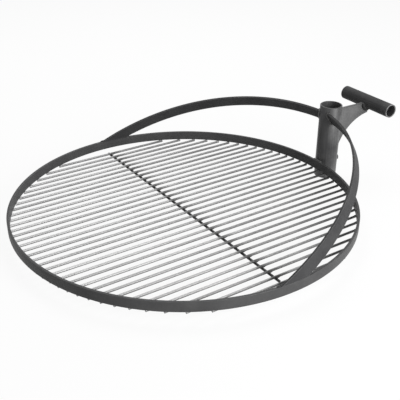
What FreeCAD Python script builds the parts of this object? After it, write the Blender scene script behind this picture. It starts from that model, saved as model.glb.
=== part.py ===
import FreeCAD, Part
import math
import os

import Sketcher

# Swivel grill grate: a hoop of flat bar carries a row of round rods, two bent flat bars brace it
# to an upright sleeve that goes over a mast, and a T-handle stands out from the sleeve.
# The origin is the middle of the sleeve's lower end, +Z runs up the sleeve, +X to the handle.

# Driving dimensions in millimetres, angles in degrees.
SIZES = {
    "ring_diameter": 700,
    "ring_height": 20,
    "ring_thickness": 5,
    "rod_diameter": 5,
    "rod_pitch": 19.8,
    "rod_setback": 3.5,
    "rod_inset": 25,
    "rod_row_shift": 2,
    "rod_angle": 1.75,
    "cross_rod_diameter": 5,
    "cross_rod_angle": 2.4,
    "cross_rod_left_inset": 12,
    "cross_rod_right_inset": 41,
    "sleeve_diameter": 48.3,
    "sleeve_wall": 2.6,
    "sleeve_length": 168,
    "sleeve_drop": 20,
    "brace_width": 25,
    "brace_thickness": 5,
    "brace_bend_radius": 420,
    "brace_climb": 25.3,
    "brace_foot_angle": 1.5,
    "brace_seat_angle": 50,
    "brace_seat_height": 144,
    "handle_diameter": 30,
    "handle_wall": 2.5,
    "handle_length": 145,
    "handle_reach": 109,
    "handle_height": 155,
    "gusset_thickness": 6,
    "gusset_toe_clearance": 10.5,
    "gusset_lip": 10,
    "gusset_arc_radius": 97,
    "nut_across_flats": 13,
    "nut_height": 6.5,
    "clamp_height": 37,
    "screw_diameter": 8,
    "screw_clearance": 0.05,
    "screw_recess": 0.2,
    "screw_chamfer": 1,
    "socket_across_flats": 4,
    "socket_depth": 4,
    "edge_break": 0.6,
    "weld_gap": 0.1,
}

doc = FreeCAD.newDocument("swivel_grate")
sheet = doc.addObject("Spreadsheet::Sheet", "sizes")
for line, (word, number) in enumerate(SIZES.items(), start=1):
    sheet.set(f"A{line}", word)
    sheet.set(f"B{line}", str(number))
    sheet.setAlias(f"B{line}", word)
doc.recompute()

# Sizes that follow from the driving ones, as formulas over the sheet.
ring_radius = "(sizes.ring_diameter / 2)"
ring_inside = f"({ring_radius} - sizes.ring_thickness)"
sleeve_radius = "(sizes.sleeve_diameter / 2)"
bore_radius = f"({sleeve_radius} - sizes.sleeve_wall)"
sleeve_clear = f"({sleeve_radius} + sizes.weld_gap)"
ring_centre = f"(-{ring_radius} - {sleeve_clear})"
ring_top = "(sizes.sleeve_drop + sizes.ring_height)"
rod_height = "(sizes.sleeve_drop - sizes.weld_gap - sizes.rod_diameter / 2)"
cross_height = f"({rod_height} - sizes.rod_diameter / 2 - sizes.weld_gap - sizes.cross_rod_diameter / 2)"
handle_radius = "(sizes.handle_diameter / 2)"
screw_radius = "(sizes.screw_diameter / 2)"
hole_radius = f"({screw_radius} + sizes.screw_clearance)"
screw_start = f"({bore_radius} + sizes.screw_recess)"
nut_face = f"({sleeve_clear} + sizes.nut_height)"
nut_corner = "(sizes.nut_across_flats / 2 / cos(30 deg))"


def value(formula):
    """Number that a formula over the sheet comes to."""
    return float(sheet.evalExpression(formula))


def place(piece, x="0", y="0", z="0"):
    """Tie a piece's position to the sheet."""
    for axis, formula in zip("xyz", (x, y, z)):
        piece.setExpression("Placement.Base." + axis, formula)


def lay(piece, heading):
    """Lay a piece that stands along Z in a level direction, in degrees from +X."""
    angle = math.radians(heading)
    piece.Placement.Rotation = FreeCAD.Rotation(FreeCAD.Vector(-math.sin(angle), math.cos(angle), 0), 90)


def primitive(kind, name, **formulas):
    """Simple solid with its sizes tied to the sheet."""
    solid = doc.addObject("Part::" + kind, name)
    for size, formula in formulas.items():
        solid.setExpression(size, formula)
    return solid


def cut(name, base, tools):
    """Base solid less each tool in turn."""
    for number, tool in enumerate(tools, start=1):
        result = doc.addObject("Part::Cut", name if number == len(tools) else f"{name}_cut_{number}")
        result.Base = base
        result.Tool = tool
        base = result
    return base


def sketch_on(body, role):
    """Empty sketch on one of the body's own reference planes."""
    plane = next(feature for feature in body.Origin.OriginFeatures if feature.Role == role)
    sketch = body.newObject("Sketcher::SketchObject", body.Name + "_sketch")
    sketch.AttachmentSupport = (plane, [""])
    sketch.MapMode = "FlatFace"
    return sketch


def tie_point(sketch, geometry, point, x, y):
    """Tie a sketch point to its two coordinates, or to an axis where a coordinate is nought."""
    for kind, axis, formula in (("DistanceX", -2, x), ("DistanceY", -1, y)):
        if formula == "0":
            sketch.addConstraint(Sketcher.Constraint("PointOnObject", geometry, point, axis))
        else:
            number = sketch.addConstraint(Sketcher.Constraint(kind, -1, 1, geometry, point, value(formula)))
            sketch.setExpression(f"Constraints[{number}]", formula)


def outline(sketch, corners):
    """Closed outline of straight edges with every corner tied to the sheet."""
    points = [FreeCAD.Vector(value(x), value(y), 0) for x, y in corners]
    ends = points[1:] + points[:1]
    edges = [sketch.addGeometry(Part.LineSegment(start, end)) for start, end in zip(points, ends)]
    for edge, following in zip(edges, edges[1:] + edges[:1]):
        sketch.addConstraint(Sketcher.Constraint("Coincident", edge, 2, following, 1))
    for edge, (x, y) in zip(edges, corners):
        tie_point(sketch, edge, 1, x, y)


def rectangle(sketch, left, right, low, high):
    """Rectangle between four tied coordinates."""
    outline(sketch, [(left, low), (right, low), (right, high), (left, high)])


def circle(sketch, x, y, radius):
    """Circle with its centre and radius tied to the sheet."""
    middle = FreeCAD.Vector(value(x), value(y), 0)
    ring = sketch.addGeometry(Part.Circle(middle, FreeCAD.Vector(0, 0, 1), value(radius)))
    tie_point(sketch, ring, 3, x, y)
    number = sketch.addConstraint(Sketcher.Constraint("Radius", ring, value(radius)))
    sketch.setExpression(f"Constraints[{number}]", radius)


def revolve(body, sketch, axis):
    """Solid of revolution about one axis of its sketch."""
    feature = body.newObject("PartDesign::Revolution", body.Name + "_turned")
    feature.Profile = sketch
    feature.ReferenceAxis = (sketch, [axis])
    feature.Angle = 360
    body.Tip = feature
    doc.recompute()
    return feature


def pocket(body, sketch, depth, reverse=False, both_ways=False):
    """Cut a sketch into the body, to one side of its plane or to both."""
    feature = body.newObject("PartDesign::Pocket", body.Name + "_pocket")
    feature.Profile = sketch
    feature.setExpression("Length", depth)
    feature.Reversed = reverse
    feature.Midplane = both_ways
    body.Tip = feature
    doc.recompute()


def break_edges(body, feature, radii):
    """Take the sharpness off the circular edges of a turned solid that have one of the given radii."""
    wanted = [value(radius) for radius in radii]
    names = []
    for number, edge in enumerate(feature.Shape.Edges, start=1):
        if isinstance(edge.Curve, Part.Circle) and any(abs(edge.Curve.Radius - size) < 1e-6 for size in wanted):
            names.append(f"Edge{number}")
    chamfer = body.newObject("PartDesign::Chamfer", body.Name + "_edges")
    chamfer.Base = (feature, names)
    chamfer.setExpression("Size", "sizes.edge_break")
    body.Tip = chamfer
    doc.recompute()


def make_ring():
    """Hoop of flat bar on edge."""
    body = doc.addObject("PartDesign::Body", "outer_ring")
    sketch = sketch_on(body, "XZ_Plane")
    rectangle(sketch, ring_inside, ring_radius, "0", "sizes.ring_height")
    hoop = revolve(body, sketch, "V_Axis")
    break_edges(body, hoop, [ring_inside, ring_radius])
    place(body, x=ring_centre, z="sizes.sleeve_drop")
    return body


def place_on_grate(piece, turn, along, across, z):
    """Tie a piece's position to the hoop's middle, along and across a direction turned against +X."""
    cosine = f"cos({turn} * 1 deg)"
    sine = f"sin({turn} * 1 deg)"
    place(piece, x=f"{ring_centre} + {along} * {cosine} - {across} * {sine}",
          y=f"{along} * {sine} + {across} * {cosine}", z=z)


def make_rods():
    """Row of rods under the hoop, each as long as its chord, and the rod across them.

    The row sits a little to the left of the hoop's middle. It and the cross rod are each turned a little
    against the line from the hoop to the sleeve."""
    count = int(value(f"2 * ({ring_inside} - sizes.rod_inset) / sizes.rod_pitch")) + 1
    rods = []
    for number in range(count):
        across = f"({(count - 1) / 2 - number} * sizes.rod_pitch + sizes.rod_row_shift)"
        half = f"sqrt(({ring_radius} - sizes.rod_setback)^2 - {across}^2)"
        rod = primitive("Cylinder", f"grate_rod_{number + 1:02d}",
                        Radius="sizes.rod_diameter / 2", Height=f"2 * {half}")
        lay(rod, value("sizes.rod_angle"))
        place_on_grate(rod, "sizes.rod_angle", f"(-{half})", across, rod_height)
        rods.append(rod)
    right_end = f"(sizes.cross_rod_right_inset - {ring_inside})"
    left_end = f"({ring_inside} - sizes.cross_rod_left_inset)"
    cross_rod = primitive("Cylinder", "cross_rod", Radius="sizes.cross_rod_diameter / 2",
                          Height=f"{left_end} - {right_end}")
    lay(cross_rod, value("sizes.cross_rod_angle") + 90)
    place_on_grate(cross_rod, "sizes.cross_rod_angle", "0", right_end, cross_height)
    return rods + [cross_rod]


def make_sleeve():
    """Upright tube with a hole for the clamp screw through its outer wall."""
    body = doc.addObject("PartDesign::Body", "pivot_sleeve")
    sketch = sketch_on(body, "XZ_Plane")
    rectangle(sketch, bore_radius, sleeve_radius, "0", "sizes.sleeve_length")
    tube = revolve(body, sketch, "V_Axis")
    break_edges(body, tube, [sleeve_radius])
    sketch = sketch_on(body, "YZ_Plane")
    circle(sketch, "0", "sizes.clamp_height", hole_radius)
    pocket(body, sketch, "sizes.sleeve_diameter", reverse=True)
    return body


def brace_arc():
    """Middle, first direction, upward normal and sweep of the left brace's arc.

    Its plane holds the foot on the hoop's top edge, the seat on the sleeve's side and a line that climbs
    towards the sleeve. The arc runs past the seat into the sleeve and past the foot into the hoop."""
    radius = value("sizes.brace_bend_radius")
    climb = math.radians(value("sizes.brace_climb"))
    foot_angle = math.radians(value("sizes.brace_foot_angle"))
    seat_angle = math.radians(value("sizes.brace_seat_angle"))
    hoop = value(f"{ring_radius} - sizes.ring_thickness / 2")
    wall = value(sleeve_radius)
    foot = FreeCAD.Vector(value(ring_centre) + hoop * math.sin(foot_angle), hoop * math.cos(foot_angle),
                          value(ring_top))
    seat = FreeCAD.Vector(-wall * math.cos(seat_angle), wall * math.sin(seat_angle),
                          value("sizes.brace_seat_height"))
    chord = seat - foot
    normal = chord.cross(FreeCAD.Vector(math.cos(climb), 0, math.sin(climb))).normalize()
    inward = chord.cross(normal).normalize()
    middle = (foot + seat) / 2 + inward * math.sqrt(radius**2 - (chord.Length / 2) ** 2)
    seat_overrun = wall / radius
    foot_overrun = value("sizes.brace_width") / math.sin(climb) / radius
    start = FreeCAD.Rotation(normal, -math.degrees(seat_overrun)).multVec(seat - middle)
    sweep = 2 * math.asin(chord.Length / 2 / radius) + seat_overrun + foot_overrun
    return middle, start, normal, math.degrees(sweep)


def make_braces():
    """Left brace, flat bar on edge bent to one arc and coped at both ends, and its mirror image."""
    middle, start, normal, sweep = brace_arc()
    corner = middle - normal * value("sizes.brace_width") / 2
    attitude = FreeCAD.Rotation(start, normal.cross(start), normal, "ZXY")
    sectors = []
    for face, sign in (("outer", "+"), ("inner", "-")):
        sector = primitive("Cylinder", f"brace_{face}_face", Height="sizes.brace_width",
                           Radius=f"sizes.brace_bend_radius {sign} sizes.brace_thickness / 2", Angle=f"{sweep} deg")
        sector.Placement = FreeCAD.Placement(corner, attitude)
        sectors.append(sector)
    bent_bar = cut("brace_bar", sectors[0], sectors[1:])
    sleeve = primitive("Cylinder", "brace_sleeve", Radius=sleeve_clear, Height="2 * sizes.sleeve_length")
    below = primitive("Cylinder", "brace_below", Radius="sizes.ring_diameter", Height=f"2 * {ring_top}")
    place(below, x=ring_centre, z=f"sizes.weld_gap - {ring_top}")
    left = cut("brace_left", bent_bar, [sleeve, below])
    right = doc.addObject("Part::Mirroring", "brace_right")
    right.Source = left
    right.Normal = FreeCAD.Vector(0, 1, 0)
    return [left, right]


def make_gusset():
    """Plate between sleeve and handle with a concave lower edge and a seat for the handle tube."""
    body = doc.addObject("PartDesign::Body", "handle_gusset")
    sketch = sketch_on(body, "XZ_Plane")
    toe = f"(sizes.clamp_height + {nut_corner} + sizes.gusset_toe_clearance)"
    rectangle(sketch, "0", "sizes.handle_reach", toe, "sizes.handle_height")
    plate = body.newObject("PartDesign::Pad", "gusset_plate")
    plate.Profile = sketch
    plate.setExpression("Length", "sizes.gusset_thickness")
    plate.Midplane = True
    body.Tip = plate
    doc.recompute()
    # The lower edge's arc would touch the sleeve's wall and ends at the lip under the handle tube.
    arc_x = f"({sleeve_clear} + sizes.gusset_arc_radius)"
    lip = f"(sizes.handle_height - {handle_radius} - sizes.gusset_lip)"
    arc_drop = f"sqrt(sizes.gusset_arc_radius^2 - ({arc_x} - sizes.handle_reach)^2)"
    cuts = [
        ("XZ_Plane", arc_x, f"{lip} - {arc_drop}", "sizes.gusset_arc_radius"),
        ("XZ_Plane", "sizes.handle_reach", "sizes.handle_height", f"{handle_radius} + sizes.weld_gap"),
        ("XY_Plane", "0", "0", sleeve_clear),
    ]
    for role, x, y, radius in cuts:
        sketch = sketch_on(body, role)
        circle(sketch, x, y, radius)
        pocket(body, sketch, "4 * sizes.handle_height", both_ways=True)
    return body


def make_handle():
    """Short tube across the end of the gusset, open at both ends."""
    body = doc.addObject("PartDesign::Body", "handle_tube")
    sketch = sketch_on(body, "XY_Plane")
    rectangle(sketch, f"{handle_radius} - sizes.handle_wall", handle_radius, "0", "sizes.handle_length")
    tube = revolve(body, sketch, "V_Axis")
    break_edges(body, tube, [handle_radius])
    place(body, x="sizes.handle_reach", y="-sizes.handle_length / 2", z="sizes.handle_height")
    return body


def along_x(piece, x):
    """Lay a piece along X on the clamp screw's line."""
    lay(piece, 0)
    place(piece, x=x, z="sizes.clamp_height")
    return piece


def make_nut():
    """Hexagon nut with chamfered corners, coped to sit on the sleeve."""
    length = f"({nut_face} - {bore_radius})"
    hexagon = primitive("Prism", "nut_hexagon", Circumradius=nut_corner, Height=length)
    chamfer = primitive("Cone", "nut_chamfer", Radius1=f"sizes.nut_across_flats / 2 + {length} * tan(60 deg)",
                        Radius2="sizes.nut_across_flats / 2", Height=length)
    blank = doc.addObject("Part::Common", "nut_blank")
    blank.Base = along_x(hexagon, bore_radius)
    blank.Tool = along_x(chamfer, bore_radius)
    hole = along_x(primitive("Cylinder", "nut_hole", Radius=hole_radius, Height=f"2 * {nut_face}"), "0")
    sleeve = primitive("Cylinder", "nut_sleeve", Radius=sleeve_clear, Height="sizes.sleeve_length")
    return cut("clamp_nut", blank, [hole, sleeve])


def make_screw():
    """Headless screw with a chamfered tip and a hexagon socket, flush with the nut."""
    body = doc.addObject("PartDesign::Body", "screw_blank")
    sketch = sketch_on(body, "XZ_Plane")
    length = f"({nut_face} - {screw_start})"
    outline(sketch, [
        ("0", "0"),
        (length, "0"),
        (length, screw_radius),
        ("sizes.screw_chamfer", screw_radius),
        ("0", f"{screw_radius} - sizes.screw_chamfer"),
    ])
    revolve(body, sketch, "H_Axis")
    place(body, x=screw_start, z="sizes.clamp_height")
    socket = primitive("Prism", "screw_socket", Height="2 * sizes.socket_depth",
                       Circumradius="sizes.socket_across_flats / 2 / cos(30 deg)")
    return cut("clamp_screw", body, [along_x(socket, f"{nut_face} - sizes.socket_depth")])


pieces = [make_ring()] + make_rods() + make_braces()
pieces += [make_sleeve(), make_gusset(), make_handle(), make_nut(), make_screw()]
doc.recompute()

for item in doc.Objects:
    if "Invalid" in item.State or "Error" in item.State:
        raise RuntimeError(f"{item.Name} did not build")
for piece in pieces:
    piece.Label = piece.Name
    if piece.Shape.isNull() or not piece.Shape.isValid() or len(piece.Shape.Solids) != 1:
        raise RuntimeError(f"{piece.Label} is not one valid solid")

os.makedirs("parts", exist_ok=True)
for piece in pieces:
    piece.Shape.exportStep(f"parts/{piece.Label}.step")
    box = piece.Shape.optimalBoundingBox()
    print(f"{piece.Label}: {piece.Shape.Volume:.0f} mm3, x {box.XMin:.1f} {box.XMax:.1f},"
          f" y {box.YMin:.1f} {box.YMax:.1f}, z {box.ZMin:.1f} {box.ZMax:.1f}")
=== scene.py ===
import math

import bmesh
import bpy
import numpy as np
from bpy.props import FloatProperty, FloatVectorProperty, PointerProperty
from mathutils import Matrix, Vector


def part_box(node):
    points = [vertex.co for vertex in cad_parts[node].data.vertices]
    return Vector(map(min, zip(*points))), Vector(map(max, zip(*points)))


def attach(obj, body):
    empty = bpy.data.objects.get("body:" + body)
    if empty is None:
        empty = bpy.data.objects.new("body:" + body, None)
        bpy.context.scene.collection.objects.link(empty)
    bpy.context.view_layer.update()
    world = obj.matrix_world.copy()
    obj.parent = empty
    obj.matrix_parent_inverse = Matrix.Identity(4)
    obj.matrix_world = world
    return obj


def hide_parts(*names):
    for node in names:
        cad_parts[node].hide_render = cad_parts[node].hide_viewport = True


bl_info = {
    "name": "Swivel grill grate",
    "version": (1, 0, 0),
    "blender": (4, 5, 0),
    "location": "View3D > Sidebar > Grate",
    "description": "Finishes, weld beads and studio for a round swivel grill grate",
    "category": "Object",
}

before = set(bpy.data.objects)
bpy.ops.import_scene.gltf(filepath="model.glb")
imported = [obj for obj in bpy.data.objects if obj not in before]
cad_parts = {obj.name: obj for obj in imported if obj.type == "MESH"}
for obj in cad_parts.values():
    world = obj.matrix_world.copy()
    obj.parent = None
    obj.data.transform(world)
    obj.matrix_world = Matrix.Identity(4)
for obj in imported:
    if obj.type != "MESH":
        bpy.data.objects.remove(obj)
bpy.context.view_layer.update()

GRATE = "grate"
SCREW = "clamp_screw"
RODS = sorted(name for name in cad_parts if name.startswith("grate_rod_"))
MILLIMETRE = 0.001

# Points nearer than the first are one point. A bar's points nearer to a surface than the second lie on it.
SAME_POINT = 0.001 * MILLIMETRE
TOUCHING = 0.3 * MILLIMETRE
# Faces turned by less than the first are one flat face. Edges over the second stay sharp, and those over the
# third are rounded.
FLAT_ANGLE = math.radians(0.2)
SHARP_ANGLE = math.radians(40)
ROUNDED_ANGLE = math.radians(50)
HOOP_STEPS, HANDLE_STEPS = 288, 96
# The nut's edge radius as a share of the bars'.
NUT_EDGE = 0.6

# Points along the beads.
SPOT_POINTS, TACK_POINTS, TOE_POINTS = 11, 13, 24
SEAM_POINTS, NUT_POINTS, RUN_POINTS = 60, 90, 120
POINTS_PER_RIPPLE, FEWEST_POINTS = 6, 4
# A bead's swelling at each ripple and the blunt start of its rounded ends, as shares of its radius.
RIPPLE_SWELL = 0.12
BLUNT_END = 0.02
# Radii of the beads as shares of the seam bead's.
COPE_BEAD, FOOT_BEAD, HOOP_BEAD = 0.8, 0.7, 0.8
# The saddle bead is large: a weld bead that also serves as painted shade under the handle tube.
SADDLE_BEAD, TOE_BEAD, NUT_BEAD = 2.2, 1.5, 0.5
# Angles about the handle tube between which the gusset's saddle bead lies.
SADDLE_TURN = (178, 272)

# Shares of the cloudy patches and the drawn marks in a coat's tone.
PATCHES_SHARE, MARKS_SHARE = 0.75, 0.35
# How far the grain takes a coat's roughness below and above its own, and how deep it is.
SMOOTHER, ROUGHER = 0.06, 0.08
GRAIN_DEPTH = 0.6 * MILLIMETRE
# Weight of the rods' even fade, a painted shade towards the mast, and the tone it ends with at a share of the
# hoop's radius past the middle.
ROD_FADE = 0.7
ROD_FADED_TONE = 0.56
ROD_FADE_END = 0.57
# Least and greatest factor of a rod's own tone, and of its painted shade below and its painted light on top.
ROD_SPREAD = (0.7, 1.3)
ROD_TOP_LIGHT = (0.1, 1.15)
# Heading towards the painted shadow of the right brace on the rods, and where that shadow starts and is full,
# as shares of the hoop's radius.
BRACE_SHADOW_HEADING = math.radians(-33)
BRACE_SHADOW_FROM, BRACE_SHADOW_TO = 0.6, 0.8
# Distances from the cross rod between which the rods' darker stretch starts and ends.
DARKER_BEFORE = (14 * MILLIMETRE, 6 * MILLIMETRE)
DARKER_AFTER = (2 * MILLIMETRE, 28 * MILLIMETRE)
# Tone of the sleeve's side with painted shade, and that shade's edge as shares of the sleeve's radius towards
# the handle.
SLEEVE_SHADED_TONE = 0.5
SLEEVE_SHADE_EDGE = (-0.72, -0.64)

# Lamps in metres to the right of, behind and above the hoop's middle, as the camera sees it, and their size.
KEY_PLACE, KEY_SIZE = (1.25, -1.2, 0.6), (1.2, 1.2)
TOP_PLACE, TOP_SIZE = (0.0, 1.2, 1.8), (1.6, 1.2)
FLOOR_REACH = 6.0
FLOOR_GREY = (0.75, 0.75, 0.75, 1)
SENSOR_WIDTH = 36
FARTHEST_SEEN = 50


def middle_of(node):
    """Centre of a node's box."""
    low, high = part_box(node)
    return (low + high) / 2


def mesh_points(node):
    """Vertices of a node as an array."""
    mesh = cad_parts[node].data
    points = np.empty(len(mesh.vertices) * 3)
    mesh.vertices.foreach_get("co", points)
    return points.reshape(-1, 3)


def axis_of(node):
    """Middle of a straight rod, its direction and its radius.

    The direction is the one in which its vertices spread most, turned towards +X or +Y."""
    points = mesh_points(node)
    middle = (points.max(axis=0) + points.min(axis=0)) / 2
    way = np.linalg.svd(points - middle, full_matrices=False)[2][0]
    return middle, way * np.sign(way[np.argmax(np.abs(way))]), np.ptp(points[:, 2]) / 2


RING_LOW, RING_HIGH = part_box("outer_ring")
RING_MIDDLE = middle_of("outer_ring")
RING_RADIUS = min(RING_HIGH.x - RING_LOW.x, RING_HIGH.y - RING_LOW.y) / 2
RING_INSIDE = np.hypot(*(mesh_points("outer_ring") - RING_MIDDLE)[:, :2].T).min()
SLEEVE_LOW, SLEEVE_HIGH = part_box("pivot_sleeve")
SLEEVE_RADIUS = (SLEEVE_HIGH.y - SLEEVE_LOW.y) / 2
GUSSET_LOW, GUSSET_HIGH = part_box("handle_gusset")
HANDLE_LOW, HANDLE_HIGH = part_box("handle_tube")
HANDLE_MIDDLE = middle_of("handle_tube")
HANDLE_RADIUS = (HANDLE_HIGH.z - HANDLE_LOW.z) / 2
HANDLE_BORE = np.hypot(*(mesh_points("handle_tube") - HANDLE_MIDDLE)[:, [0, 2]].T).min()


class GrateFinish(bpy.types.PropertyGroup):
    """Colours and surface of the coated steel."""

    coat_dark: FloatVectorProperty(
        name="Coat, dark", description="Darker patches of the coat", subtype="COLOR", size=4,
        default=(0.027, 0.027, 0.028, 1), min=0, max=1)
    coat_light: FloatVectorProperty(
        name="Coat, light", description="Lighter patches of the coat", subtype="COLOR", size=4,
        default=(0.048, 0.048, 0.049, 1), min=0, max=1)
    # Painted light: a lighter tone for the gusset and the sleeve's lit side, where the lamp on the right
    # falls on them.
    plate_painted_light: FloatVectorProperty(
        name="Plate, light", description="Lighter patches of the gusset and the sleeve", subtype="COLOR",
        size=4, default=(0.115, 0.115, 0.115, 1), min=0, max=1)
    rod_dark: FloatVectorProperty(
        name="Rod, dark", description="Darker patches of the rods", subtype="COLOR", size=4,
        default=(0.07, 0.07, 0.07, 1), min=0, max=1)
    rod_light: FloatVectorProperty(
        name="Rod, light", description="Lighter patches of the rods", subtype="COLOR", size=4,
        default=(0.33, 0.33, 0.33, 1), min=0, max=1)
    edge_wear: FloatVectorProperty(
        name="Worn", description="Rubbed edges, and lighter patches of the hoop and the handle",
        subtype="COLOR", size=4, default=(0.07, 0.07, 0.07, 1), min=0, max=1)
    weld_dark: FloatVectorProperty(
        name="Weld, dark", description="Darker patches of the weld beads", subtype="COLOR", size=4,
        default=(0.018, 0.018, 0.018, 1), min=0, max=1)
    weld_light: FloatVectorProperty(
        name="Weld, light", description="Lighter patches of the weld beads", subtype="COLOR", size=4,
        default=(0.08, 0.079, 0.077, 1), min=0, max=1)
    rim_light: FloatVectorProperty(
        name="Rim", description="Bare steel on the rims of the handle tube", subtype="COLOR", size=4,
        default=(0.3, 0.3, 0.3, 1), min=0, max=1)
    edge_radius: FloatProperty(
        name="Edge radius", description="Rounding of the flat bars' edges", subtype="DISTANCE",
        unit="LENGTH", default=0.0008, min=0.0001, max=0.002)


class GrateWelds(bpy.types.PropertyGroup):
    """Sizes of the weld beads."""

    seam_radius: FloatProperty(
        name="Seam bead", description="Radius of the long beads", subtype="DISTANCE", unit="LENGTH",
        default=0.0026, min=0.0005, max=0.006)
    spot_radius: FloatProperty(
        name="Spot bead", description="Radius of the short beads on the rods", subtype="DISTANCE",
        unit="LENGTH", default=0.0016, min=0.0005, max=0.006)
    ripple_length: FloatProperty(
        name="Ripple length", description="Distance from ripple to ripple along a bead", subtype="DISTANCE",
        unit="LENGTH", default=0.0034, min=0.0005, max=0.02)


class GrateStage(bpy.types.PropertyGroup):
    """Camera, lamps and floor."""

    azimuth: FloatProperty(
        name="Azimuth", description="Turn of the grate under the camera", subtype="ANGLE", unit="ROTATION",
        default=math.radians(30.17))
    elevation: FloatProperty(
        name="Elevation", description="Height of the camera over the floor as an angle", subtype="ANGLE",
        unit="ROTATION", default=math.radians(28.9))
    distance: FloatProperty(
        name="Distance", description="Camera to the middle of the hoop's lower edge", subtype="DISTANCE",
        unit="LENGTH", default=1.42415)
    pan: FloatProperty(
        name="Pan", description="Turn of the camera to its right", subtype="ANGLE", unit="ROTATION",
        default=math.radians(1.3))
    pitch: FloatProperty(
        name="Pitch", description="Turn of the camera upwards", subtype="ANGLE", unit="ROTATION",
        default=math.radians(0.54))
    roll: FloatProperty(
        name="Roll", description="Turn of the camera about its own line of sight", subtype="ANGLE",
        unit="ROTATION", default=math.radians(-0.48))
    focal_length: FloatProperty(
        name="Focal length", description="Lens of the camera in millimetres", default=62.82, min=10,
        max=300)
    world_level: FloatProperty(
        name="World level", description="Strength of the even light all round", default=0.42, min=0, max=2)
    key_power: FloatProperty(
        name="Key power", description="Lamp from the right", subtype="POWER", unit="POWER",
        default=41, min=0)
    top_power: FloatProperty(
        name="Top power", description="Lamp overhead, behind the grate", subtype="POWER", unit="POWER",
        default=28, min=0)
    shadow_depth: FloatProperty(
        name="Shadow depth", description="Share of the floor's look that takes shadows", default=0.1,
        min=0, max=1)


# Meshes


def finished_piece(mesh, finishes, body):
    """Object of a mesh, with its finishes and smooth faces, riding on a body."""
    for finish in finishes:
        mesh.materials.append(finish_of(finish))
    mesh.polygons.foreach_set("use_smooth", np.ones(len(mesh.polygons), dtype=bool))
    mesh.set_sharp_from_angle(angle=SHARP_ANGLE)
    piece = bpy.data.objects.new(mesh.name, mesh)
    bpy.context.scene.collection.objects.link(piece)
    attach(piece, body)
    return piece


def paint_faces(piece, places):
    """Give each face the finish at a place in the piece's list."""
    piece.data.polygons.foreach_set("material_index", np.asarray(places, dtype=np.int32))


def new_piece(name, vertices, faces, finishes, body, slot):
    """Piece from arrays of vertices and faces, with its faces turned outwards."""
    mesh = bpy.data.meshes.new(name)
    mesh.from_pydata(vertices, [], faces)
    shape = bmesh.new()
    shape.from_mesh(mesh)
    bmesh.ops.recalc_face_normals(shape, faces=shape.faces)
    shape.to_mesh(mesh)
    shape.free()
    return finished_piece(mesh, finishes, body)


def copy_solid(node, finishes):
    """Copy of a node's solid in its place, with its double points merged and its flat faces joined."""
    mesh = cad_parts[node].data.copy()
    mesh.name = node + "_rounded"
    shape = bmesh.new()
    shape.from_mesh(mesh)
    bmesh.ops.remove_doubles(shape, verts=shape.verts, dist=SAME_POINT)
    bmesh.ops.dissolve_limit(shape, angle_limit=FLAT_ANGLE, verts=shape.verts, edges=shape.edges)
    shape.to_mesh(mesh)
    shape.free()
    mesh.materials.clear()
    piece = finished_piece(mesh, finishes, GRATE)
    paint_faces(piece, np.zeros(len(mesh.polygons)))
    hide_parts(node)
    return piece


def round_edges(piece, width):
    """Rounded edges that carry the piece's second finish."""
    bevel = piece.modifiers.new("Rounded edges", "BEVEL")
    bevel.width = width
    bevel.segments = 2
    bevel.limit_method = "ANGLE"
    bevel.angle_limit = ROUNDED_ANGLE
    bevel.material = 1


def grid_faces(rows, columns):
    """Four-sided faces of a grid whose columns run round and meet."""
    row, column = np.meshgrid(np.arange(rows - 1), np.arange(columns), indexing="ij")
    following = (column + 1) % columns
    quads = np.stack([row * columns + column, row * columns + following,
                      (row + 1) * columns + following, (row + 1) * columns + column], axis=-1)
    return quads.reshape(-1, 4)


def closed_grid(rings):
    """Vertices and faces of a row of rings with a fan to a middle point at each end."""
    rows, columns, _ = rings.shape
    poles = np.stack([rings[0].mean(axis=0), rings[-1].mean(axis=0)])
    vertices = np.concatenate([rings.reshape(-1, 3), poles])
    around = np.arange(columns)
    following = (around + 1) % columns
    last = (rows - 1) * columns
    first_fan = np.stack([following, around, np.full(columns, rows * columns)], axis=-1)
    last_fan = np.stack([last + around, last + following, np.full(columns, rows * columns + 1)], axis=-1)
    return vertices, grid_faces(rows, columns).tolist() + first_fan.tolist() + last_fan.tolist()


def join_parts(parts):
    """One list of vertices and faces from several."""
    vertices = []
    faces = []
    count = 0
    for part_vertices, part_faces in parts:
        vertices.append(part_vertices)
        faces += [[number + count for number in face] for face in part_faces]
        count += len(part_vertices)
    return np.concatenate(vertices), faces


def straight(start, end, count):
    """Evenly spaced points from start to end."""
    share = np.linspace(0, 1, count)[:, None]
    return np.asarray(start) * (1 - share) + np.asarray(end) * share


def ring_point(angle, radius, height):
    """Points on a circle about the hoop's axis, with the angle from +X."""
    return np.stack([RING_MIDDLE.x + radius * np.cos(angle), RING_MIDDLE.y + radius * np.sin(angle),
                     np.full_like(angle, height)], axis=-1)


def rounded_section(low, high, edge, steps=5):
    """Rounded rectangle between two corners: a quarter circle at each corner, in order round it.

    Gives the points and, for the side that follows each point, whether it belongs to a rounded edge."""
    sweep = np.linspace(0, math.pi / 2, steps)
    corners = [(high[0] - edge, high[1] - edge), (low[0] + edge, high[1] - edge),
               (low[0] + edge, low[1] + edge), (high[0] - edge, low[1] + edge)]
    arcs = []
    for quarter, (across, up) in enumerate(corners):
        turn = sweep + quarter * math.pi / 2
        arcs.append(np.stack([across + edge * np.cos(turn), up + edge * np.sin(turn)], axis=-1))
    return np.concatenate(arcs), np.arange(len(corners) * steps) % steps < steps - 1


def turned_section(section, centre, axis, count):
    """Section of radii and heights turned round an axis: a grid that closes both ways."""
    turn = np.linspace(0, 2 * math.pi, count, endpoint=False)[:, None]
    radius, height = section[None, :, 0], section[None, :, 1]
    coordinates = [radius * np.cos(turn), radius * np.sin(turn)]
    coordinates.insert(axis, np.broadcast_to(height, (count, section.shape[0])))
    points = np.stack(coordinates, axis=-1) + np.asarray(centre)
    faces = grid_faces(count + 1, section.shape[0]) % (count * section.shape[0])
    return points.reshape(-1, 3), faces.tolist()


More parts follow.
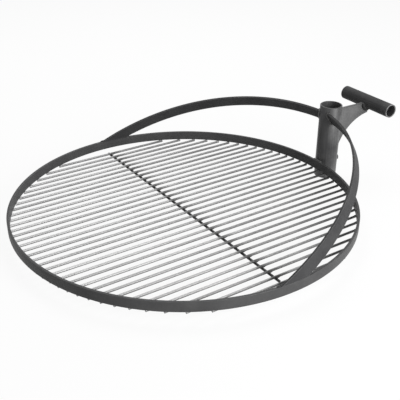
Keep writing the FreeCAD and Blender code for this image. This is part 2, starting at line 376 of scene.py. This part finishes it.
def bead(path, radius, ripple_length, sides=10, thin=0.0):
    """Weld bead: circles square to a path. Their radius is the bead's radius, swollen over each ripple by
    the size of a sine along the path, and falls nearly to a point at both ends as a half circle does.

    A bead that thins loses that share of its radius evenly by its far end."""
    path = np.asarray(path, dtype=float)
    steps = np.linalg.norm(np.diff(path, axis=0), axis=1)
    along = np.concatenate([[0], np.cumsum(steps)])
    tangent = np.gradient(path, axis=0)
    tangent /= np.linalg.norm(tangent, axis=1, keepdims=True)
    reference = np.eye(3)[np.argmin(np.abs(tangent).max(axis=0))]
    normal = np.cross(tangent, reference)
    normal /= np.linalg.norm(normal, axis=1, keepdims=True)
    binormal = np.cross(tangent, normal)
    to_end = np.minimum(along, along[-1] - along) / radius
    taper = np.sqrt(np.clip(1 - (1 - np.clip(to_end, BLUNT_END, 1)) ** 2, 0, 1))
    swell = 1 + RIPPLE_SWELL * np.abs(np.sin(math.pi * along / ripple_length))
    size = (radius * taper * swell * (1 - thin * along / along[-1]))[:, None, None]
    angle = np.linspace(0, 2 * math.pi, sides, endpoint=False)[None, :, None]
    rings = path[:, None] + size * (np.cos(angle) * normal[:, None] + np.sin(angle) * binormal[:, None])
    return closed_grid(rings)


# Finishes


def add_node(tree, kind, values=None, **settings):
    """Node with its settings and unlinked input values."""
    node = tree.nodes.new(kind)
    for name, setting in settings.items():
        setattr(node, name, setting)
    for name, value in (values or {}).items():
        node.inputs[name].default_value = value
    return node


def ramp(tree, value, start, end, first=1.0, last=0.0):
    """Value that goes evenly from the first to the last as another goes from the start to the end."""
    limits = {"From Min": start, "From Max": end, "To Min": first, "To Max": last}
    node = add_node(tree, "ShaderNodeMapRange", limits)
    tree.links.new(value, node.inputs["Value"])
    return node.outputs["Result"]


def combine(tree, operation, first, second, clamp=False):
    """Result of an operation on two values, each of them a socket or a number."""
    node = add_node(tree, "ShaderNodeMath", operation=operation, use_clamp=clamp)
    for socket, value in zip(node.inputs, (first, second)):
        if isinstance(value, bpy.types.NodeSocket):
            tree.links.new(value, socket)
        else:
            socket.default_value = value
    return node.outputs[0]


def distance_along(tree, place, way):
    """Distance of a place from the origin along a direction."""
    node = add_node(tree, "ShaderNodeVectorMath", {1: tuple(way)}, operation="DOT_PRODUCT")
    tree.links.new(place, node.inputs[0])
    return node.outputs["Value"]


def new_group(name, inputs, outputs):
    """Empty shader group with named sockets."""
    group = bpy.data.node_groups.new(name, "ShaderNodeTree")
    for label, kind, default in inputs:
        socket = group.interface.new_socket(label, in_out="INPUT", socket_type=kind)
        if default is not None:
            socket.default_value = default
    for label, kind in outputs:
        group.interface.new_socket(label, in_out="OUTPUT", socket_type=kind)
    entry = group.nodes.new("NodeGroupInput")
    leave = group.nodes.new("NodeGroupOutput")
    return group, entry, leave


def surface_marks_group():
    """Cloudy patches, fine grain and long drawn marks of rolled steel under a thin coat."""
    group, entry, leave = new_group(
        "Rolled steel marks",
        [("Vector", "NodeSocketVector", None), ("Patch Scale", "NodeSocketFloat", 18),
         ("Grain Scale", "NodeSocketFloat", 900), ("Stretch", "NodeSocketVector", (1, 1, 1))],
        [("Patches", "NodeSocketFloat"), ("Grain", "NodeSocketFloat"), ("Marks", "NodeSocketFloat")])
    link = group.links.new
    patches = add_node(group, "ShaderNodeTexNoise", {"Detail": 5, "Roughness": 0.6})
    grain = add_node(group, "ShaderNodeTexNoise", {"Detail": 2, "Roughness": 0.7})
    pull = add_node(group, "ShaderNodeVectorMath", operation="MULTIPLY")
    marks = add_node(group, "ShaderNodeTexNoise", {"Scale": 420, "Detail": 3, "Roughness": 0.65})
    link(entry.outputs["Vector"], patches.inputs["Vector"])
    link(entry.outputs["Patch Scale"], patches.inputs["Scale"])
    link(entry.outputs["Vector"], grain.inputs["Vector"])
    link(entry.outputs["Grain Scale"], grain.inputs["Scale"])
    link(entry.outputs["Vector"], pull.inputs[0])
    link(entry.outputs["Stretch"], pull.inputs[1])
    link(pull.outputs[0], marks.inputs["Vector"])
    # The middle of each noise's range is spread out, so that patches and marks stand clear.
    link(ramp(group, patches.outputs["Fac"], 0.32, 0.7, 0.0, 1.0), leave.inputs["Patches"])
    link(grain.outputs["Fac"], leave.inputs["Grain"])
    link(ramp(group, marks.outputs["Fac"], 0.45, 0.75, 0.0, 1.0), leave.inputs["Marks"])
    return group


def coated_steel(name, dark, light, stretch, roughness, patch_scale=18, bump=0.06, metal=0.0, sheen=0.5,
                 shade=None):
    """Satin coat on steel: colour drifts between two tones, drawn marks lighten it, grain roughens it.

    A shade is a function that takes the tree, the place on the piece and the share of the light tone, and
    gives back a changed share."""
    material = bpy.data.materials.new(name)
    material.use_nodes = True
    tree = material.node_tree
    link = tree.links.new
    shader = tree.nodes["Principled BSDF"]
    shader.inputs["Metallic"].default_value = metal
    shader.inputs["Specular IOR Level"].default_value = sheen
    place = add_node(tree, "ShaderNodeTexCoord").outputs["Object"]
    marks = add_node(tree, "ShaderNodeGroup", node_tree=bpy.data.node_groups["Rolled steel marks"])
    marks.inputs["Patch Scale"].default_value = patch_scale
    marks.inputs["Stretch"].default_value = stretch
    link(place, marks.inputs["Vector"])
    patches = combine(tree, "MULTIPLY", marks.outputs["Patches"], PATCHES_SHARE)
    drawn = combine(tree, "MULTIPLY", marks.outputs["Marks"], MARKS_SHARE)
    share = combine(tree, "ADD", patches, drawn, clamp=True)
    if shade:
        share = shade(tree, place, share)
    tone = add_node(tree, "ShaderNodeMix", {"A": dark, "B": light}, data_type="RGBA")
    relief = add_node(tree, "ShaderNodeBump", {"Strength": bump, "Distance": GRAIN_DEPTH})
    grain = marks.outputs["Grain"]
    link(share, tone.inputs["Factor"])
    link(tone.outputs["Result"], shader.inputs["Base Color"])
    link(ramp(tree, grain, 0.0, 1.0, roughness - SMOOTHER, roughness + ROUGHER), shader.inputs["Roughness"])
    link(grain, relief.inputs["Height"])
    link(relief.outputs["Normal"], shader.inputs["Normal"])
    return material


def rod_tone(tree, place, way):
    """Factor of its own for each rod: white noise over the rod's place in the row."""
    side = np.cross((0, 0, 1), way)
    lanes = [axis_of(rod)[0] @ side for rod in RODS]
    pitch = np.ptp(lanes) / (len(lanes) - 1)
    across = combine(tree, "ADD", distance_along(tree, place, side), pitch / 2 - min(lanes))
    noise = add_node(tree, "ShaderNodeTexWhiteNoise", noise_dimensions="1D")
    tree.links.new(combine(tree, "SNAP", across, pitch), noise.inputs["W"])
    return ramp(tree, noise.outputs["Value"], 0.0, 1.0, *ROD_SPREAD)


def rod_shade(tree, place, share):
    """Rods fade evenly along their length towards the mast, a painted shade. They carry a painted shadow of
    the right brace, are darker on a stretch beside the cross rod, have painted light on top and painted shade
    below, and each has a tone of its own."""
    # Painted shadow of the right brace: the rods darken past a line on the brace's side.
    shadow_way = Vector((math.cos(BRACE_SHADOW_HEADING), math.sin(BRACE_SHADOW_HEADING), 0))
    towards_shadow = distance_along(tree, place, shadow_way)
    heart = RING_MIDDLE @ shadow_way
    brace_shadow = ramp(tree, towards_shadow, heart + BRACE_SHADOW_FROM * RING_RADIUS, heart + BRACE_SHADOW_TO * RING_RADIUS)
    way = axis_of(RODS[len(RODS) // 2])[1]
    along = distance_along(tree, place, way)
    # Painted shade: the rods darken evenly towards the mast, standing in for their dimmer reflections there.
    middle = float(RING_MIDDLE @ Vector(way))
    fade_end = middle + ROD_FADE_END * RING_RADIUS
    painted_fade = ramp(tree, along, middle - RING_RADIUS, fade_end, 1.0, ROD_FADED_TONE)
    # A stretch of each rod beside the cross rod is darker.
    crossing = float(axis_of("cross_rod")[0] @ way)
    before = ramp(tree, along, crossing - DARKER_BEFORE[0], crossing - DARKER_BEFORE[1])
    after = ramp(tree, along, crossing + DARKER_AFTER[0], crossing + DARKER_AFTER[1], 0.0, 1.0)
    outside_darker_stretch = combine(tree, "MAXIMUM", before, after)
    # Painted light and shade: each rod is lighter on top, where the overhead light falls, and darker below.
    centre, _, radius = axis_of(RODS[0])
    height = distance_along(tree, place, (0, 0, 1))
    painted_top_light = ramp(tree, height, centre[2] - radius, centre[2] + radius, *ROD_TOP_LIGHT)
    fade = add_node(tree, "ShaderNodeMix", {"Factor": ROD_FADE})
    tree.links.new(share, fade.inputs["A"])
    tree.links.new(painted_fade, fade.inputs["B"])
    tone = fade.outputs["Result"]
    for factor in (brace_shadow, outside_darker_stretch, rod_tone(tree, place, way), painted_top_light):
        tone = combine(tree, "MULTIPLY", tone, factor)
    return tone


def sleeve_shade(tree, place, share):
    """The side of the sleeve that faces the grate is darker, a painted shade, up to a clear edge."""
    outwards = distance_along(tree, place, (1, 0, 0))
    shaded, lit = np.array(SLEEVE_SHADE_EDGE) * SLEEVE_RADIUS
    return combine(tree, "MULTIPLY", share, ramp(tree, outwards, shaded, lit, SLEEVE_SHADED_TONE, 1.0))


def make_finishes(finish):
    """Every finish of the grate by name."""
    surface_marks_group()
    dark, light = tuple(finish.coat_dark), tuple(finish.coat_light)
    rod_dark, rod_light = tuple(finish.rod_dark), tuple(finish.rod_light)
    lit_plate_tone, worn = tuple(finish.plate_painted_light), tuple(finish.edge_wear)
    weld_dark, weld_light = tuple(finish.weld_dark), tuple(finish.weld_light)
    rim = tuple(finish.rim_light)
    # Drawn marks run long in the direction in which a stretch is small.
    even, upright, along_x, along_y = (0.8, 0.8, 0.8), (1, 1, 0.03), (0.03, 1, 1), (1, 0.03, 1)
    coated_steel("hoop_coat", light, worn, even, roughness=0.45, sheen=0.08)
    coated_steel("bar_coat", dark, light, even, roughness=0.55, sheen=0.1)
    # The gusset and the lit side of the sleeve take the lighter plate tone, which is painted light.
    coated_steel("gusset_lit_coat", light, lit_plate_tone, even, roughness=0.4, sheen=0.35)
    coated_steel("sleeve_coat", dark, lit_plate_tone, upright, roughness=0.4, sheen=0.3, shade=sleeve_shade)
    coated_steel("handle_coat", dark, worn, along_y, roughness=0.6, sheen=0.08)
    coated_steel("rod_coat", rod_dark, rod_light, along_x, roughness=0.42, patch_scale=9, bump=0.01,
                 metal=0.5, shade=rod_shade)
    coated_steel("cross_rod_coat", weld_dark, dark, along_y, roughness=0.4, patch_scale=30, sheen=0.25)
    coated_steel("worn_edge", dark, worn, even, roughness=0.45, patch_scale=70, sheen=0.3)
    coated_steel("rim_steel", worn, rim, even, roughness=0.35, patch_scale=120)
    coated_steel("weld_metal", weld_dark, weld_light, even, roughness=0.45, patch_scale=260, bump=0.2)
    # Dark weld on the feet's tacks, the gusset's toe and the saddle beads, where it is also painted shade
    # under the handle tube.
    coated_steel("burnt_weld", weld_dark, dark, even, roughness=0.6, patch_scale=260, bump=0.2, sheen=0.2)
    coated_steel("clamp_coat", dark, light, even, roughness=0.3, patch_scale=60)


def finish_of(name):
    """Finish that has been made under a name."""
    return bpy.data.materials[name]


def coat_node(node, finish):
    """Put a finish on a node's own mesh."""
    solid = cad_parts[node]
    if not solid.material_slots:
        solid.data.materials.append(finish_of(finish))
    for slot in solid.material_slots:
        slot.material = finish_of(finish)


class GRATE_OT_coat(bpy.types.Operator):
    """Make the finishes and put them on the solids"""

    bl_idname = "grate.coat"
    bl_label = "Coat the solids"

    def execute(self, context):
        make_finishes(context.scene.grate_finish)
        for rod in RODS:
            coat_node(rod, "rod_coat")
        coat_node("cross_rod", "cross_rod_coat")
        coat_node("pivot_sleeve", "sleeve_coat")
        coat_node("handle_tube", "handle_coat")
        for node in ("outer_ring", "brace_left", "brace_right", "handle_gusset"):
            coat_node(node, "bar_coat")
        for node in ("clamp_nut", "clamp_screw"):
            coat_node(node, "clamp_coat")
        return {"FINISHED"}


class GRATE_OT_ring(bpy.types.Operator):
    """Rolled hoop and drawn handle tube with rounded edges"""

    bl_idname = "grate.ring"
    bl_label = "Roll the hoop and the handle"

    def execute(self, context):
        edge = context.scene.grate_finish.edge_radius
        section, worn = rounded_section((RING_INSIDE, RING_LOW.z), (RING_RADIUS, RING_HIGH.z), edge)
        shape = turned_section(section, (RING_MIDDLE.x, RING_MIDDLE.y, 0), 2, HOOP_STEPS)
        hoop = new_piece("hoop_rounded", *shape, ["hoop_coat", "worn_edge"], GRATE, "frame_steel")
        paint_faces(hoop, np.tile(worn, HOOP_STEPS))
        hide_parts("outer_ring")
        section, worn = rounded_section((HANDLE_BORE, HANDLE_LOW.y), (HANDLE_RADIUS, HANDLE_HIGH.y), edge)
        shape = turned_section(section, (HANDLE_MIDDLE.x, 0, HANDLE_MIDDLE.z), 1, HANDLE_STEPS)
        handle = new_piece("handle_rounded", *shape, ["handle_coat", "rim_steel"], GRATE, "frame_steel")
        paint_faces(handle, np.tile(worn, HANDLE_STEPS))
        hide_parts("handle_tube")
        return {"FINISHED"}


class GRATE_OT_bars(bpy.types.Operator):
    """Braces, gusset and nut with rounded edges, and the sleeve with worn rims"""

    bl_idname = "grate.bars"
    bl_label = "Round the bars' edges"

    def execute(self, context):
        width = context.scene.grate_finish.edge_radius
        for node in ("brace_left", "brace_right"):
            round_edges(copy_solid(node, ["bar_coat", "worn_edge"]), width)
        round_edges(copy_solid("handle_gusset", ["gusset_lit_coat", "worn_edge"]), width)
        round_edges(copy_solid("clamp_nut", ["clamp_coat", "worn_edge"]), NUT_EDGE * width)
        sleeve = copy_solid("pivot_sleeve", ["sleeve_coat", "worn_edge"])
        centres = np.empty(len(sleeve.data.polygons) * 3)
        sleeve.data.polygons.foreach_get("center", centres)
        to_middle = np.abs(centres.reshape(-1, 3)[:, 2] - middle_of("pivot_sleeve").z)
        paint_faces(sleeve, to_middle > (SLEEVE_HIGH.z - SLEEVE_LOW.z) / 2 - MILLIMETRE)
        return {"FINISHED"}


def rod_end_beads(rod, spot, ripple_length):
    """Beads at a rod's two ends, where its axis passes under the hoop's inner face. Each lies along the rod's
    upper side, from one bead radius outside that face to three inside it."""
    middle, way, radius = axis_of(rod)
    offset = (middle - RING_MIDDLE)[:2]
    along = offset @ way[:2]
    half = math.sqrt(RING_INSIDE**2 - offset @ offset + along**2)
    beads = []
    for side in (-1, 1):
        face = middle + (side * half - along) * way + [0, 0, 0.7 * radius]
        path = straight(face + side * spot * way, face - 3 * side * spot * way, SPOT_POINTS)
        beads.append(bead(path, spot, ripple_length))
    return beads


def crossing_beads(rod, spot, ripple_length):
    """Bead where a rod lies on the cross rod: along the rod's lower side, from the cross rod's near side on
    to three bead radii past its far side. A rod that the cross rod doesn't reach has none."""
    middle, way, radius = axis_of(rod)
    cross_middle, cross_way, cross_radius = axis_of("cross_rod")
    cross_half = np.ptp(mesh_points("cross_rod") @ cross_way) / 2
    sides = np.stack([way[:2], -cross_way[:2]], axis=-1)
    on_rod, on_cross = np.linalg.solve(sides, (cross_middle - middle)[:2])
    if abs(on_cross) >= cross_half:
        return []
    near = 0.8 * cross_radius
    start = middle + (on_rod - near) * way - [0, 0.6 * radius, 0.8 * radius]
    end = start + (2 * near + 3 * spot) * way
    return [bead(straight(start, end, TACK_POINTS), spot, ripple_length, thin=0.7)]


class GRATE_OT_rod_welds(bpy.types.Operator):
    """Short beads where the rods meet the hoop and the cross rod"""

    bl_idname = "grate.rod_welds"
    bl_label = "Weld the rods"

    def execute(self, context):
        welds = context.scene.grate_welds
        spot, ripple = welds.spot_radius, welds.ripple_length
        ends = []
        crossings = []
        for rod in RODS:
            ends += rod_end_beads(rod, spot, ripple)
            crossings += crossing_beads(rod, spot, ripple)
        new_piece("rod_end_beads", *join_parts(ends), ["rod_coat"], GRATE, "rod_steel")
        new_piece("cross_rod_beads", *join_parts(crossings), ["weld_metal"], GRATE, "rod_steel")
        return {"FINISHED"}


def outline_path(flat, ripple_length):
    """Closed path round a bar's four-sided end laid flat: straight runs between the end's corners.

    The corners are the points furthest out along the sums of the end's long and short direction."""
    spread = flat - (flat.max(axis=0) + flat.min(axis=0)) / 2
    spread = spread @ np.linalg.svd(flat - flat.mean(axis=0), full_matrices=False)[2].T
    spread /= np.abs(spread).max(axis=0)
    corners = np.array([flat[np.argmax(spread @ way)] for way in ((1, 1), (1, -1), (-1, -1), (-1, 1))])
    runs = []
    for corner, following in zip(corners, np.roll(corners, -1, axis=0)):
        ripples = np.linalg.norm(following - corner) / ripple_length
        count = max(FEWEST_POINTS, int(POINTS_PER_RIPPLE * ripples))
        runs.append(straight(corner, following, count)[:-1])
    return np.concatenate(runs + [corners[:1]])


def sleeve_bead(node, radius, ripple_length):
    """Bead round a bar's coped end, worked out on the sleeve's wall rolled flat."""
    points = mesh_points(node)
    end = points[np.hypot(points[:, 0], points[:, 1]) < SLEEVE_RADIUS + TOUCHING]
    angle = np.arctan2(end[:, 1], end[:, 0]) % (2 * math.pi)
    path = outline_path(np.stack([angle * SLEEVE_RADIUS, end[:, 2]], axis=-1), ripple_length)
    turn = path[:, 0] / SLEEVE_RADIUS
    wall = SLEEVE_RADIUS + 0.25 * radius
    path = np.stack([wall * np.cos(turn), wall * np.sin(turn), path[:, 1]], axis=-1)
    return bead(path, radius, ripple_length)


def foot_ends(node):
    """Angles about the hoop's axis of a bar's foot: at its tip, away from the mast, and at its heel."""
    points = mesh_points(node)
    foot = points[points[:, 2] < RING_HIGH.z + TOUCHING] - RING_MIDDLE
    angle = np.arctan2(foot[:, 1], foot[:, 0])
    return angle[np.argmax(np.abs(angle))], angle[np.argmin(np.abs(angle))]


def foot_run(node, radius, ripple_length):
    """Bead along the inner side of a bar's foot, on the hoop's top edge."""
    angle = np.linspace(*foot_ends(node), RUN_POINTS)
    return bead(ring_point(angle, RING_INSIDE + 0.7 * radius, RING_HIGH.z), radius, ripple_length)


def foot_tacks(node, radius, ripple_length):
    """Bead that runs out from under the tip of a bar's foot, one at its heel and tacks on its outer side.

    Each starts at a share of the way from tip to heel and runs on by a length, backwards past the tip. Then
    come its place across the hoop's edge, its radius and the share by which it thins."""
    tip, heel = foot_ends(node)
    outside = RING_RADIUS - 1.15 * radius
    middle = (RING_INSIDE + RING_RADIUS) / 2
    places = [(0.03, -9 * MILLIMETRE, middle, radius, 0.5),
              (0.98, 8 * MILLIMETRE, middle, 0.8 * radius, 0.6),
              (0.01, 5 * MILLIMETRE, outside, radius, 0.2),
              (0.52, 4 * MILLIMETRE, outside, 0.7 * radius, 0.2),
              (0.86, 5 * MILLIMETRE, outside, 0.7 * radius, 0.2)]
    beads = []
    for share, length, across, size, thin in places:
        start = tip + share * (heel - tip)
        angle = start + np.linspace(0, length / RING_RADIUS, TACK_POINTS) * np.sign(heel - tip)
        path = ring_point(angle, across, RING_HIGH.z + 0.2 * size)
        beads.append(bead(path, size, ripple_length, thin=thin))
    return beads


def hoop_beads(seam, ripple_length):
    """Two upright beads where the hoop meets the sleeve's wall, and one over them on the hoop's top edge."""
    side = 6 * MILLIMETRE
    beads = []
    for y in (-side, side):
        foot = np.array([SLEEVE_LOW.x, y, RING_LOW.z + seam])
        head = foot + [0, 0, RING_HIGH.z - RING_LOW.z - 2 * seam]
        beads.append(bead(straight(foot, head, SEAM_POINTS), seam, ripple_length))
    swing = np.linspace(-2 * side, 2 * side, SEAM_POINTS) / RING_RADIUS
    path = ring_point(swing, RING_RADIUS - 0.3 * seam, RING_HIGH.z)
    return beads + [bead(path, HOOP_BEAD * seam, ripple_length)]


class GRATE_OT_frame_welds(bpy.types.Operator):
    """Beads where the braces and the sleeve meet the hoop and each other"""

    bl_idname = "grate.frame_welds"
    bl_label = "Weld the frame"

    def execute(self, context):
        welds = context.scene.grate_welds
        seam, ripple = welds.seam_radius, welds.ripple_length
        parts = []
        runs = []
        tacks = []
        for node in ("brace_left", "brace_right"):
            parts.append(sleeve_bead(node, COPE_BEAD * seam, ripple))
            runs.append(foot_run(node, FOOT_BEAD * seam, ripple))
            tacks += foot_tacks(node, seam, ripple)
        parts += hoop_beads(seam, ripple)
        new_piece("frame_beads", *join_parts(parts), ["weld_metal"], GRATE, "frame_steel")
        new_piece("foot_runs", *join_parts(runs), ["bar_coat"], GRATE, "frame_steel")
        new_piece("foot_tacks", *join_parts(tacks), ["burnt_weld"], GRATE, "frame_steel")
        return {"FINISHED"}


def gusset_seam(across, seam, ripple_length):
    """Upright bead beside the gusset on the sleeve's wall, at a distance from the gusset's middle."""
    wall = math.sqrt(SLEEVE_RADIUS**2 - across**2) + 0.2 * seam
    path = straight((wall, across, GUSSET_LOW.z), (wall, across, GUSSET_HIGH.z), RUN_POINTS)
    return bead(path, COPE_BEAD * seam, ripple_length)


def handle_saddle(across, seam, ripple_length):
    """Bead beside the gusset on the handle tube: an arc about the tube, at a distance from its middle. Large
    and dark, it is a weld bead and also painted shade under the tube.
    """
    turn = np.radians(np.linspace(*SADDLE_TURN, SEAM_POINTS))
    path = np.stack([HANDLE_MIDDLE.x + HANDLE_RADIUS * np.cos(turn), np.full_like(turn, across),
                     HANDLE_MIDDLE.z + HANDLE_RADIUS * np.sin(turn)], axis=-1)
    return bead(path, SADDLE_BEAD * seam, ripple_length)


def gusset_toe(seam, ripple_length):
    """Blob of weld at the gusset's lower tip, down the sleeve's wall past the tip."""
    toe = SLEEVE_RADIUS + 0.6 * seam
    path = straight((toe, 0, GUSSET_LOW.z + 4 * seam), (toe, 0, GUSSET_LOW.z - 1.5 * seam), TOE_POINTS)
    return bead(path, TOE_BEAD * seam, ripple_length, sides=16)


def nut_ring(seam, ripple_length):
    """Bead round the nut: a circle about the nut's axis, laid on the sleeve's wall."""
    low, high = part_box("clamp_nut")
    nut_radius = (high.z - low.z) / 2
    turn = np.linspace(0, 2 * math.pi, NUT_POINTS)
    side = nut_radius * np.cos(turn)
    height = middle_of("clamp_nut").z + nut_radius * np.sin(turn)
    path = np.stack([np.sqrt(SLEEVE_RADIUS**2 - side**2), side, height], axis=-1)
    return bead(path, NUT_BEAD * seam, ripple_length)


class GRATE_OT_handle_welds(bpy.types.Operator):
    """Beads where the gusset meets the sleeve and the handle tube, and round the nut"""

    bl_idname = "grate.handle_welds"
    bl_label = "Weld the handle"

    def execute(self, context):
        welds = context.scene.grate_welds
        seam, ripple = welds.seam_radius, welds.ripple_length
        edge = GUSSET_HIGH.y + 0.2 * seam
        parts = [gusset_seam(across, seam, ripple) for across in (-edge, edge)]
        parts.append(nut_ring(seam, ripple))
        dark_beads = [handle_saddle(across, seam, ripple) for across in (-edge, edge)]
        dark_beads.append(gusset_toe(seam, ripple))
        new_piece("handle_beads", *join_parts(parts), ["weld_metal"], GRATE, "frame_steel")
        new_piece("gusset_beads", *join_parts(dark_beads), ["burnt_weld"], GRATE, "frame_steel")
        return {"FINISHED"}


class GRATE_OT_screw(bpy.types.Operator):
    """Headless screw with its thread and hexagon socket"""

    bl_idname = "grate.screw"
    bl_label = "Thread the screw"

    def execute(self, context):
        low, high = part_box(SCREW)
        middle = (low + high) / 2
        radius = (high.z - low.z) / 2
        pitch, depth, chamfer = 1.25 * MILLIMETRE, 0.65 * MILLIMETRE, 1 * MILLIMETRE
        flat, socket = 2 * MILLIMETRE, 4 * MILLIMETRE
        sides, rows, tip_flat = 48, 90, 0.3
        turn = np.linspace(0, 2 * math.pi, sides, endpoint=False)
        along = np.linspace(low.x, high.x, rows)
        # The thread's radius falls by its depth and back along each pitch, a turn of the screw apart.
        phase = (along[:, None] / pitch - turn[None] / (2 * math.pi)) % 1
        thread = radius - depth * np.abs(2 * phase - 1)
        # Both ends are chamfered at 45 degrees, the tail by half as much as the tip.
        tip = radius - chamfer + (along[:, None] - low.x)
        tail = radius - chamfer / 2 + (high.x - along[:, None])
        wall = np.minimum(thread, np.minimum(tip, tail))
        # The socket's radius is a hexagon's: half its width over the cosine of the angle from a flat.
        hexagon = flat / np.cos((turn + math.pi / 6) % (math.pi / 3) - math.pi / 6)
        radii = np.concatenate([tip_flat * wall[:1], wall, hexagon[None], hexagon[None]])
        places = np.concatenate([[low.x], along, [high.x], [high.x - socket]])
        rings = np.stack([np.broadcast_to(places[:, None], radii.shape),
                          middle.y + radii * np.cos(turn)[None],
                          middle.z + radii * np.sin(turn)[None]], axis=-1)
        piece = new_piece("threaded_screw", *closed_grid(rings), ["clamp_coat"], SCREW, "clamp_steel")
        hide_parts(SCREW)
        return {"FINISHED"}


# Stage


def turned(vector, stage):
    """Direction or offset as the camera sees it turned into the grate's frame."""
    return Matrix.Rotation(-stage.azimuth, 3, "Z") @ Vector(vector)


def swing(first, second, angle):
    """Two directions at right angles, both turned by an angle, the first towards the second."""
    return (first * math.cos(angle) + second * math.sin(angle),
            second * math.cos(angle) - first * math.sin(angle))


def camera_axes(stage):
    """Camera's place and its right, up and forward directions in the grate's frame.

    The camera looks at the middle of the hoop's lower edge, then it pans, pitches and rolls."""
    place = np.array([0, -math.cos(stage.elevation), math.sin(stage.elevation)]) * stage.distance
    forward = -place / np.linalg.norm(place)
    right = np.array([1.0, 0, 0])
    up = np.cross(right, forward)
    forward, right = swing(forward, right, stage.pan)
    forward, up = swing(forward, up, stage.pitch)
    right, up = swing(right, up, stage.roll)
    return [turned(vector, stage) for vector in (place, right, up, forward)]


def set_origin():
    """Middle of the hoop's lower edge."""
    return Vector((RING_MIDDLE.x, RING_MIDDLE.y, RING_LOW.z))


def add_softbox(name, stage, offset, size, power):
    """Rectangular lamp at an offset from the hoop's middle, facing it."""
    data = bpy.data.lights.new(name, "AREA")
    data.shape = "RECTANGLE"
    data.size, data.size_y = size
    data.energy = power
    lamp = bpy.data.objects.new(name, data)
    bpy.context.scene.collection.objects.link(lamp)
    away = turned(offset, stage)
    lamp.location = set_origin() + away
    lamp.rotation_euler = away.to_track_quat("Z", "Y").to_euler()


def seen_directly(tree):
    """One where the camera, a reflection or a view through glass meets the surface, else nought."""
    path = add_node(tree, "ShaderNodeLightPath").outputs
    plain = combine(tree, "MAXIMUM", path["Is Camera Ray"], path["Is Glossy Ray"])
    return combine(tree, "MAXIMUM", plain, path["Is Transmission Ray"])


def add_floor(stage):
    """Plain white floor that stays white to the camera and takes a soft shadow."""
    centre = set_origin()
    west, east = centre.x - FLOOR_REACH, centre.x + FLOOR_REACH
    south, north = centre.y - FLOOR_REACH, centre.y + FLOOR_REACH
    height = SLEEVE_LOW.z - MILLIMETRE
    corners = [(west, south, height), (east, south, height), (east, north, height), (west, north, height)]
    mesh = bpy.data.meshes.new("studio_floor")
    mesh.from_pydata(corners, [], [(0, 1, 2, 3)])
    floor = bpy.data.objects.new("studio_floor", mesh)
    bpy.context.scene.collection.objects.link(floor)
    material = bpy.data.materials.new("studio_floor")
    material.use_nodes = True
    tree = material.node_tree
    tree.nodes.clear()
    link = tree.links.new
    matt = add_node(tree, "ShaderNodeBsdfDiffuse", {"Color": FLOOR_GREY})
    white = add_node(tree, "ShaderNodeEmission", {"Strength": 1.0})
    mix = add_node(tree, "ShaderNodeMixShader")
    end = add_node(tree, "ShaderNodeOutputMaterial")
    link(combine(tree, "MULTIPLY", seen_directly(tree), 1 - stage.shadow_depth), mix.inputs["Fac"])
    link(matt.outputs[0], mix.inputs[1])
    link(white.outputs[0], mix.inputs[2])
    link(mix.outputs[0], end.inputs["Surface"])
    mesh.materials.append(material)


def add_world(stage):
    """Even light all round, white where the camera sees it."""
    world = bpy.data.worlds.new("studio")
    world.use_nodes = True
    tree = world.node_tree
    background = tree.nodes["Background"]
    background.inputs["Color"].default_value = (1, 1, 1, 1)
    level = ramp(tree, seen_directly(tree), 0.0, 1.0, stage.world_level, 1.0)
    tree.links.new(level, background.inputs["Strength"])
    bpy.context.scene.world = world


def add_camera(stage):
    """Camera at its place, without depth of field."""
    data = bpy.data.cameras.new("camera")
    data.sensor_width = SENSOR_WIDTH
    data.lens = stage.focal_length
    data.clip_end = FARTHEST_SEEN
    camera = bpy.data.objects.new("camera", data)
    bpy.context.scene.collection.objects.link(camera)
    place, right, up, forward = camera_axes(stage)
    turn = Matrix((right, up, -forward)).transposed()
    camera.matrix_world = Matrix.Translation(set_origin() + place) @ turn.to_4x4()
    bpy.context.scene.camera = camera


class GRATE_OT_stage(bpy.types.Operator):
    """White floor, soft lamps and the camera"""

    bl_idname = "grate.stage"
    bl_label = "Set the stage"

    def execute(self, context):
        stage = context.scene.grate_stage
        add_floor(stage)
        add_world(stage)
        add_softbox("key_right", stage, KEY_PLACE, KEY_SIZE, stage.key_power)
        add_softbox("top_back", stage, TOP_PLACE, TOP_SIZE, stage.top_power)
        add_camera(stage)
        context.scene.view_settings.view_transform = "Standard"
        return {"FINISHED"}


class GRATE_PT_panel(bpy.types.Panel):
    """Steps that dress the grate, in order"""

    bl_idname = "GRATE_PT_panel"
    bl_label = "Grate"
    bl_space_type = "VIEW_3D"
    bl_region_type = "UI"
    bl_category = "Grate"

    def draw(self, context):
        for operator in OPERATORS:
            self.layout.operator(operator.bl_idname)
        for group in (context.scene.grate_finish, context.scene.grate_welds, context.scene.grate_stage):
            for name in group.__annotations__:
                self.layout.prop(group, name)


GROUPS = {"grate_finish": GrateFinish, "grate_welds": GrateWelds, "grate_stage": GrateStage}
OPERATORS = (GRATE_OT_coat, GRATE_OT_ring, GRATE_OT_bars, GRATE_OT_rod_welds, GRATE_OT_frame_welds,
             GRATE_OT_handle_welds, GRATE_OT_screw, GRATE_OT_stage)


def register():
    """Make the settings, steps and panel known."""
    for group in GROUPS.values():
        bpy.utils.register_class(group)
    for operator in OPERATORS:
        bpy.utils.register_class(operator)
    bpy.utils.register_class(GRATE_PT_panel)
    for name, group in GROUPS.items():
        setattr(bpy.types.Scene, name, PointerProperty(type=group))


def unregister():
    """Take the settings, steps and panel out again."""
    for name in GROUPS:
        delattr(bpy.types.Scene, name)
    bpy.utils.unregister_class(GRATE_PT_panel)
    for operator in reversed(OPERATORS):
        bpy.utils.unregister_class(operator)
    for group in reversed(list(GROUPS.values())):
        bpy.utils.unregister_class(group)


def main():
    """Dress the grate step by step."""
    register()
    for operator in OPERATORS:
        family, step = operator.bl_idname.split(".")
        getattr(getattr(bpy.ops, family), step)()


if __name__ == "__main__":
    main()
